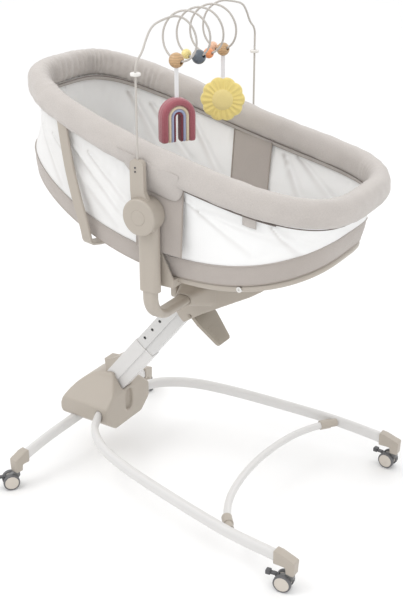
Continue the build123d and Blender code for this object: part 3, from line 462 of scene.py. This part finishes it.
# Rim padding: one long sleeve, gathered inside the head end and round the foot's corners
def rimSleeve():
    sizes = {"tall": 0.0335, "outer": 0.0300, "inner": 0.0262, "gather": 0.0052, "puff": 0.0030}
    count, rows = 460, 44
    angles, length = evenAngles(rimSizes, 0.0, math.tau, count)
    gathers, sway = math.tau * 118 / length, math.tau * 13 / length

    def place(u, v):
        i = round(u * count) % count
        centre, tangent, outward, upward = ringFrame(rimSizes, angles[i])
        turn = v * math.tau
        side = math.copysign(abs(math.cos(turn)) ** 0.80, math.cos(turn))
        lift = math.copysign(abs(math.sin(turn)) ** 0.88, math.sin(turn))
        run = i / count * length
        inward = 0.5 - 0.5 * math.cos(turn)
        headEnd = max(0.0, min(1.0, (-0.22 - centre.x) / 0.12))
        footEnd = max(0.0, min(1.0, (centre.x - 0.28) / 0.08))
        bend = max(headEnd, 0.55 * footEnd)
        waves = math.sin(run * gathers + 2.4 * math.sin(run * sway))
        folds = waves * (0.55 + 0.9 * ripple(centre, 15, 4))
        swell = sizes["gather"] * folds * bend * inward ** 1.4 * (1 - 0.4 * max(0.0, lift))
        spot = centre + outward * side * 0.03 + upward * lift * 0.03
        swell += sizes["puff"] * ripple(spot, 13, 2) + 0.0018 * ripple(spot, 42, 7)
        deep = sizes["outer"] if side > 0 else sizes["inner"]
        return centre + outward * side * (deep + swell) + upward * lift * (sizes["tall"] + 0.6 * swell)

    piece = gridPiece("rimSleeve", count, rows, place, (length, 0.2), closed=True)
    dress(piece, "padding_fabric", "basket", "rim_padding")


rimSleeve()
print("rim padding made")


# Mesh wall with its pulled folds, the lower band and the dark seam under the padding
meshFolds = {"near": ((-0.33, 0.99, -0.12, 0.80), (-0.30, 1.0, -0.20, 0.82), (-0.27, 0.99, -0.07, 0.80),
                      (-0.20, 0.97, -0.06, 0.84), (-0.38, 1.0, -0.30, 0.87), (0.08, 0.90, 0.25, 0.80),
                      (0.12, 0.88, 0.33, 0.84), (0.30, 0.87, 0.36, 0.80)),
             "far": ((-0.30, 0.99, -0.16, 0.82), (-0.18, 0.96, -0.08, 0.80), (0.10, 0.90, 0.16, 0.79),
                     (0.14, 0.90, 0.26, 0.80), (-0.36, 1.02, -0.28, 0.88)),
             "width": 0.0095, "height": 0.0070}


def foldHeight(point):
    total = 0.0
    for x0, z0, x1, z1 in meshFolds["near" if point.y < 0 else "far"]:
        ax, az = point.x - x0, point.z - z0
        dx, dz = x1 - x0, z1 - z0
        share = max(0.0, min(1.0, (ax * dx + az * dz) / (dx * dx + dz * dz)))
        away = math.hypot(ax - dx * share, az - dz * share)
        total += math.exp(-(away / (meshFolds["width"] * (0.5 + share))) ** 2) * (1 - 0.4 * share)
    return total * meshFolds["height"]


def wallPoint(angle, share, out=0.0):
    # share 0 at the padding, 1 at the band's top edge
    top = ringPoint(rimSizes, angle, out, -0.029)
    low = ringPoint(bandTopSizes, angle, out - 0.0015, 0.001)
    return top.lerp(low, share)


def meshWall():
    count = 420
    angles, length = evenAngles(rimSizes, -math.pi, math.pi, count)

    def place(u, v):
        angle = angles[min(count, max(0, round(u * count)))]
        if round(u * count) == count:
            angle = angles[0]
        point = wallPoint(angle, 1 - v)
        tangent, outward = ringFrame(rimSizes, angle)[1:3]
        held = math.sin(math.pi * min(1.0, max(0.0, v))) ** 0.6
        gather = 0.0016 * math.sin(u * length * 300 + 5 * ripple(point, 6, 1)) * v ** 3 * (1 - v) ** 0.3
        cloud = 0.0032 * ripple(point, 13, 5) + 0.0014 * ripple(point, 34, 3)
        bow = -0.0045 * math.sin(math.pi * v)
        return point + outward * ((cloud + bow + foldHeight(point)) * held + gather)

    piece = gridPiece("meshWall", count, 46, place, (length, 0.2), closed=True)
    # painted shade: darker on one side of each pulled fold and toward the head on the near side
    paintedFoldShade = piece.data.attributes.new("paintedFoldShade", "FLOAT", "POINT")
    for i, vertex in enumerate(piece.data.vertices):
        point = vertex.co
        near = max(0.0, min(1.0, (-0.02 - point.x) / 0.22)) if point.y < -0.12 else 0.0
        step = foldHeight(point + Vector((0.006, 0, 0))) - foldHeight(point)
        paintedFoldShade.data[i].value = max(0.0, min(0.85, 0.34 * near + 150 * max(0.0, step)))
    area = sum(face.area for face in piece.data.polygons)
    useModifier(piece, "wall", "SOLIDIFY", thickness=0.0014, offset=0.0)
    dress(piece, "mesh_fabric", "basket", "mesh_liner")
    declareSheet(piece, length, area)


def lowerBand():
    count = 360
    angles, length = evenAngles(floorSizes, -math.pi, math.pi, count)

    def place(u, v):
        angle = angles[round(u * count) % count]
        top = ringPoint(bandTopSizes, angle, 0.0, 0.002)
        low = ringPoint(floorSizes, angle, -0.0005, -0.001)
        point = low.lerp(top, v)
        outward = ringFrame(floorSizes, angle)[2]
        swell = 0.0020 * math.sin(math.pi * v) + 0.0010 * ripple(point, 30, 8) * math.sin(math.pi * v)
        return point + outward * swell

    piece = gridPiece("lowerBand", count, 14, place, (length, 0.05), closed=True)
    area = sum(face.area for face in piece.data.polygons)
    useModifier(piece, "wall", "SOLIDIFY", thickness=0.0036, offset=-1.0)
    dress(piece, "band_fabric", "basket", "lower_band")
    declareSheet(piece, length, area)


def ringPiping(name, sizes, out, rise, radius, material, slotName):
    angles, _ = evenAngles(sizes, -math.pi, math.pi, 260)
    points = [ringPoint(sizes, angle, out, rise) for angle in angles[:-1]]
    piece = tubeThrough(name, points, radius, closed=True)
    return dress(piece, slotName, "basket", material=material)


def innerHem():
    # narrow binding that hangs inside, between the padding and the net
    count = 320
    angles, length = evenAngles(rimSizes, -math.pi, math.pi, count)

    def place(u, v):
        angle = angles[round(u * count) % count]
        top = ringPoint(rimSizes, angle, -0.0160, -0.0280)
        low = ringPoint(rimSizes, angle, -0.0092, -0.0430)
        return low.lerp(top, v)

    piece = gridPiece("innerHem", count, 4, place, (length, 0.017), closed=True)
    area = sum(face.area for face in piece.data.polygons)
    useModifier(piece, "wall", "SOLIDIFY", thickness=0.0012, offset=0.0)
    dress(piece, "padding_fabric", "basket")
    declareSheet(piece, length, area)


def strap(name, centre, along, down, size, slotName, material=None):
    # a short flat strip of cloth hanging from a seam
    along, down = Vector(along).normalized(), Vector(down).normalized()
    outward = along.cross(down)

    def place(u, v):
        sway = 0.0015 * math.sin(math.pi * u) * (1 - v)
        sideways, drop = along * ((u - 0.5) * size[0]), down * ((1 - v) * size[1])
        return Vector(centre) + sideways + drop - outward * sway

    piece = gridPiece(name, 8, 8, place, size)
    area = sum(face.area for face in piece.data.polygons)
    useModifier(piece, "wall", "SOLIDIFY", thickness=0.0016, offset=0.0)
    dress(piece, slotName, "basket", material=material)
    declareSheet(piece, size[0], area)


meshWall()
lowerBand()
innerHem()
ringPiping("rimSeam", rimSizes, 0.0022, -0.0376, 0.0013, seamCloth, "padding_fabric")
ringPiping("innerSeam", rimSizes, -0.0188, -0.0292, 0.0014, seamCloth, "padding_fabric")
ringPiping("hemEdge", rimSizes, -0.0092, -0.0425, 0.0013, pipingCloth, "padding_fabric")
ringPiping("bandPiping", bandTopSizes, 0.0006, 0.0014, 0.0016, None, "band_fabric")
ringPiping("hemPiping", floorSizes, -0.0015, -0.0004, 0.0020, pipingCloth, "band_fabric")
tagAngle = angleAt(rimSizes, 0.245)
strap("bareTag", ringPoint(rimSizes, tagAngle, 0.0048, -0.0360), ringFrame(rimSizes, tagAngle)[1],
      (0, 0.03, -1), (0.034, 0.024), "padding_fabric")
strap("headFlap", (-0.4600, 0.050, 1.1330), (0, 1, 0), (-0.85, 0, -0.42), (0.112, 0.026),
      "padding_fabric", finishes["band_fabric"])
zipAngles = [angleAt(rimSizes, 0.075 + 0.23 * i / 40) for i in range(41)]
zipPoints = [ringPoint(rimSizes, angle, 0.0040, -0.0385) for angle in zipAngles]
dress(tubeThrough("zipLine", zipPoints, 0.0024), "padding_fabric", "basket", material=seamCloth)
print("mesh wall and band made")


# Cloth pockets over the side hinges, outside and inside, and the sleeve hems beside the side bars
def sidePanel(name, side, corners, outward, puff, seed):
    # corners: head top, foot top, foot low, head low as (x, z); outward is the y at a height
    width = corners[1][0] - corners[0][0]
    height = corners[0][1] - corners[3][1]

    def place(u, v):
        top = Vector(corners[0]).lerp(Vector(corners[1]), u)
        low = Vector(corners[3]).lerp(Vector(corners[2]), u)
        flat = low.lerp(top, v)
        point = Vector((flat.x, side * outward(flat.y), flat.y))
        edge = min(1.0, 6 * min(u, 1 - u, v, 1 - v))
        return point + Vector((0, side * edge * (puff * ripple(point, 24, seed) + puff * 0.7), 0))

    piece = gridPiece(name, 36, 46, place, (width, height))
    area = sum(face.area for face in piece.data.polygons)
    useModifier(piece, "wall", "SOLIDIFY", thickness=0.0014, offset=0.0)
    dress(piece, "band_fabric", "basket", "gusset_panels")
    declareSheet(piece, height, area)
    return piece


def panelPiping(name, side, corners, outward, legs):
    for k, (a, b) in enumerate(legs):
        points = []
        for i in range(25):
            flat = Vector(corners[a]).lerp(Vector(corners[b]), i / 24)
            points.append((flat.x, side * outward(flat.y), flat.y))
        dress(tubeThrough(f"{name}{k}", points, 0.0017), "band_fabric", "basket", material=pipingCloth)


def wallY(z, out):
    # the mesh wall's half-width near the side hinges, at a height
    share = (z - 0.745) / 0.205
    return 0.2125 + 0.0160 * share + out


outerCorners = ((-0.056, 0.945), (0.076, 0.934), (0.068, 0.757), (-0.058, 0.765))
innerCorners = ((-0.052, 0.950), (0.062, 0.930), (0.056, 0.776), (-0.056, 0.786))
for side, tag in ((-1, "Near"), (1, "Far")):
    sidePanel(f"outerPocket{tag}", side, outerCorners, lambda z: max(wallY(z, 0.008), 0.2338), 0.0006, 3)
    panelPiping(f"pocketPiping{tag}", side, outerCorners,
                lambda z: max(wallY(z, 0.008), 0.2338), ((1, 2), (0, 3)))
    sidePanel(f"innerPocket{tag}", side, innerCorners, lambda z: wallY(z, -0.0075), -0.0010, 6)
    panelPiping(f"innerPiping{tag}", side, innerCorners,
                lambda z: wallY(z, -0.0088), ((1, 2), (0, 3), (2, 3)))


def sleeveHem(name, side, xStart, xEnd, drop, corner):
    # cloth that leaves the sleeve's outer side and tucks in under the side bar
    def place(u, v):
        x = xStart + (xEnd - xStart) * u
        rimZ = 0.956 - 0.224 * (x - basketX) + 0.115 * (x - basketX) ** 2
        reach = 1 - abs(u) ** corner
        low = rimZ - 0.030 - drop * reach
        z = rimZ + 0.004 + (low - rimZ - 0.004) * (1 - v)
        share = (1 - v)
        y = 0.2593 - 0.0215 * share ** 1.8
        point = Vector((x, side * y, z))
        return point + Vector((0, side * 0.0012 * ripple(point, 30, 9) * v * (1 - v) * 4, 0))

    piece = gridPiece(name, 34, 26, place, (abs(xEnd - xStart), 0.09))
    area = sum(face.area for face in piece.data.polygons)
    useModifier(piece, "wall", "SOLIDIFY", thickness=0.0016, offset=0.0)
    dress(piece, "padding_fabric", "basket")
    declareSheet(piece, abs(xEnd - xStart), area)


for side, tag in ((-1, "Near"), (1, "Far")):
    sleeveHem(f"footHem{tag}", side, -0.022, 0.080, 0.044, 9)
    sleeveHem(f"headHem{tag}", side, -0.026, -0.090, 0.030, 2.6)
print("pockets and hems made")


# Mattress: crowned pad with sewn channels
def mattressPad():
    sizes = {"lift": 0.007, "thick": 0.026, "crown": 0.007, "inset": 0.008, "channel": 0.055}
    across, along = 150, 96

    def outline(u, v):
        # square grid to the rounded plan
        a, b = 2 * u - 1, 2 * v - 1
        reach = floorSizes["foot"] if a > 0 else floorSizes["head"]
        power = floorSizes["full"][1] if a > 0 else floorSizes["full"][0]
        size = max(abs(a), abs(b))
        if size < 1e-6:
            return Vector((basketX, 0)), 0.0
        norm = (abs(a) ** power + abs(b) ** power) ** (1 / power)
        x = a / norm * size * (reach - sizes["inset"])
        y = b / norm * size * (floorSizes["half"] - sizes["inset"])
        return Vector((basketX + x, y)), size

    def surface(up):
        def place(u, v):
            flat, size = outline(u, v)
            x = flat.x - basketX
            base = floorSizes["height"] + floorSizes["slope"] * x + floorSizes["curl"] * x * x
            base += sizes["lift"]
            edge = (1 - size ** 8) ** 0.5
            if not up:
                return Vector((flat.x, flat.y, base + 0.010 * (1 - edge)))
            seam = min(abs((flat.x / sizes["channel"]) % 1 - 0.5),
                       abs((flat.y / sizes["channel"]) % 1 - 0.5))
            quilt = 0.0016 * min(1.0, seam * 9)
            crown = sizes["crown"] * (1 - (flat.y / 0.21) ** 2)
            height = 0.010 + (sizes["thick"] - 0.010) * edge + (crown + quilt) * edge
            return Vector((flat.x, flat.y, base + height))
        return place

    top = gridPiece("mattressPad", across, along, surface(True), (0.85, 0.42))
    low = gridPiece("mattressLow", across, along, surface(False), (0.85, 0.42))
    clearSelection()
    low.select_set(True)
    top.select_set(True)
    bpy.context.view_layer.objects.active = top
    bpy.ops.object.join()
    bpy.ops.object.mode_set(mode="EDIT")
    bpy.ops.mesh.select_all(action="SELECT")
    bpy.ops.mesh.remove_doubles(threshold=0.0003)
    bpy.ops.mesh.normals_make_consistent(inside=False)
    bpy.ops.object.mode_set(mode="OBJECT")
    dress(top, "mattress_fabric", "basket", "mattress")


mattressPad()
print("mattress made")


# Toys
def coilPlace(turn):
    angle = math.tau * turn
    return Vector((-0.024 + 0.056 * math.sin(angle), 0.060 * (turn - 2),
                   1.240 + 0.056 * math.cos(angle)))


def toyMatrix(turn, drop, facing):
    place = coilPlace(turn) - Vector((0, 0, drop))
    return Matrix.Translation(place) @ Matrix.Rotation(math.radians(facing), 4, "Z") \
        @ Matrix.Rotation(math.radians(90), 4, "X")


def rainbowToy():
    matrix = toyMatrix(0.53, 0.194, 55)
    leg = 0.062
    bands = (("rainbowOuter", 0.0350, 0.0185, 0.0185, None),
             ("rainbowCream", 0.0228, 0.0092, 0.0150, creamKnit),
             ("rainbowBlue", 0.0152, 0.0080, 0.0140, blueKnit),
             ("rainbowPlum", 0.0092, 0.0060, 0.0130, plumKnit))
    for name, radius, width, thick, material in bands:
        length = 2 * leg + math.pi * radius
        rows = 120

        def place(u, v, radius=radius, width=width, thick=thick, length=length):
            run = u * length
            if run < leg:
                centre, normal = Vector((-radius, run, 0)), Vector((-1, 0, 0))
            elif run > length - leg:
                centre, normal = Vector((radius, length - run, 0)), Vector((1, 0, 0))
            else:
                turn = math.pi - (run - leg) / radius
                normal = Vector((math.cos(turn), math.sin(turn), 0))
                centre = Vector((0, leg, 0)) + normal * radius
            turn = v * math.tau
            end = min(1.0, max(0.0, min(run, length - run) / 0.008))
            round_ = (1 - (1 - end) ** 2) ** 0.5
            taper = 0.55 + 0.45 * round_
            side = math.copysign(abs(math.cos(turn)) ** 0.75, math.cos(turn)) * width / 2 * taper
            deep = math.copysign(abs(math.sin(turn)) ** 0.7, math.sin(turn)) * thick * taper
            point = centre + normal * side + Vector((0, 0, deep))
            cable = 0.00055 * math.sin(turn * 14) * abs(math.sin(run * 620))
            return matrix @ (point + (normal * math.cos(turn) + Vector((0, 0, math.sin(turn)))) * cable)

        piece = gridPiece(name, rows, 72, place, (length, 0.05), closed=True)
        select(piece)
        bpy.ops.object.mode_set(mode="EDIT")
        bpy.ops.mesh.select_all(action="DESELECT")
        bpy.ops.mesh.select_non_manifold()
        bpy.ops.mesh.edge_face_add()
        bpy.ops.object.mode_set(mode="OBJECT")
        if material:
            dress(piece, "rainbow_knit", "rainbow", material=material)
        else:
            dress(piece, "rainbow_knit", "rainbow", "rainbow_toy")


def sunToy():
    matrix = toyMatrix(3.465, 0.124, 28)

    def disc(name, reach, thick, lobes, depth, material, offset=0.0):
        def half(up):
            def place(u, v):
                a, b = 2 * u - 1, 2 * v - 1
                size = max(abs(a), abs(b))
                turn = math.atan2(b, a)
                edge = reach * (1 - depth + depth * abs(math.cos(lobes * turn / 2)) ** 0.8)
                dome = (1 - size ** 3) ** 0.5
                wave = math.sin(turn * lobes * 2 + 0.6 * math.sin(turn * 3))
                pleat = 0.0034 * wave * size ** 2 * (1 - size ** 4)
                pucker = pleat if depth else 0.0
                point = Vector((math.cos(turn) * edge * size, math.sin(turn) * edge * size,
                                up * (thick * dome + offset * (1 - size) + pucker)))
                return matrix @ point
            return place
        first = gridPiece(name, 64, 64, half(1), (0.11, 0.11))
        second = gridPiece(name + "Back", 64, 64, half(-1), (0.11, 0.11))
        clearSelection()
        second.select_set(True)
        first.select_set(True)
        bpy.context.view_layer.objects.active = first
        bpy.ops.object.join()
        bpy.ops.object.mode_set(mode="EDIT")
        bpy.ops.mesh.select_all(action="SELECT")
        bpy.ops.mesh.remove_doubles(threshold=0.00005)
        bpy.ops.mesh.normals_make_consistent(inside=False)
        bpy.ops.object.mode_set(mode="OBJECT")
        dress(first, "sun_knit", "sun", *material[1], material=material[0])

    disc("sunPetals", 0.0560, 0.0085, 10, 0.08, (None, ("sun_toy",)))
    disc("sunMiddle", 0.0300, 0.0140, 10, 0.0, (paleYellow, ()))


rainbowToy()
sunToy()
print("toys made")


# Two small catch holes near the top of each side bar
def barHoles():
    sizes = {"x": -0.0275, "y": 0.2764, "heights": (0.9735, 0.9640), "radius": 0.0022, "depth": 0.0016}
    for side, tag in ((-1, "Near"), (1, "Far")):
        for k, z in enumerate(sizes["heights"]):
            clearSelection()
            bpy.ops.mesh.primitive_cylinder_add(vertices=24, radius=sizes["radius"],
                                                depth=sizes["depth"],
                                                location=(sizes["x"], side * sizes["y"], z),
                                                rotation=(math.pi / 2, 0, 0))
            piece = bpy.context.object
            piece.name = f"barHole{tag}{k}"
            bpy.ops.object.transform_apply(location=True, rotation=True, scale=True)
            bpy.ops.object.shade_smooth_by_angle(angle=math.radians(40))
            dress(piece, "dark_plastic", "basket")


barHoles()


# Moulded shells: the CAD forms with their edges rounded off
boreSizes = {
    "centre": (-0.292, 0, 0.246), "along": (0.6347, 0, 0.7727), "across": (0.7727, 0, -0.6347),
    "low": -0.125, "high": 0.16, "halfDepth": 0.0375, "halfWidth": 0.0235,
}


def inColumnBore(point):
    # the hub's bore isn't smoothed, so that the rounded shell stays clear of the column
    reach = point - Vector(boreSizes["centre"])
    along = reach.dot(Vector(boreSizes["along"]))
    across = reach.dot(Vector(boreSizes["across"]))
    if not boreSizes["low"] < along < boreSizes["high"]:
        return False
    return abs(across) < boreSizes["halfDepth"] and abs(point.y) < boreSizes["halfWidth"]


def softened(node, slotName, body, voxel, rounds, kept=None):
    source = nodes[node]
    clearSelection()
    mesh = source.data.copy()
    piece = bpy.data.objects.new(node + "Shell", mesh)
    bpy.context.collection.objects.link(piece)
    select(piece)
    bpy.ops.object.mode_set(mode="EDIT")
    bpy.ops.mesh.select_all(action="SELECT")
    bpy.ops.mesh.remove_doubles(threshold=0.00001)
    bpy.ops.object.mode_set(mode="OBJECT")
    useModifier(piece, "remesh", "REMESH", mode="VOXEL", voxel_size=voxel)
    group = piece.vertex_groups.new(name="rounded")
    group.add([v.index for v in piece.data.vertices if not (kept and kept(v.co))], 1.0, "REPLACE")
    useModifier(piece, "smooth", "SMOOTH", factor=0.5, iterations=rounds, vertex_group="rounded")
    piece.vertex_groups.clear()
    bpy.ops.object.shade_smooth()
    return dress(piece, slotName, body, node)


softened("hub_shell", "beige_plastic", "base", 0.0030, 12, inColumnBore)
softened("head_housing", "beige_plastic", "head", 0.0026, 5)
softened("front_end_caps", "beige_plastic", "base", 0.0018, 5)
softened("rear_end_caps", "beige_plastic", "base", 0.0018, 5)
print("shells made")
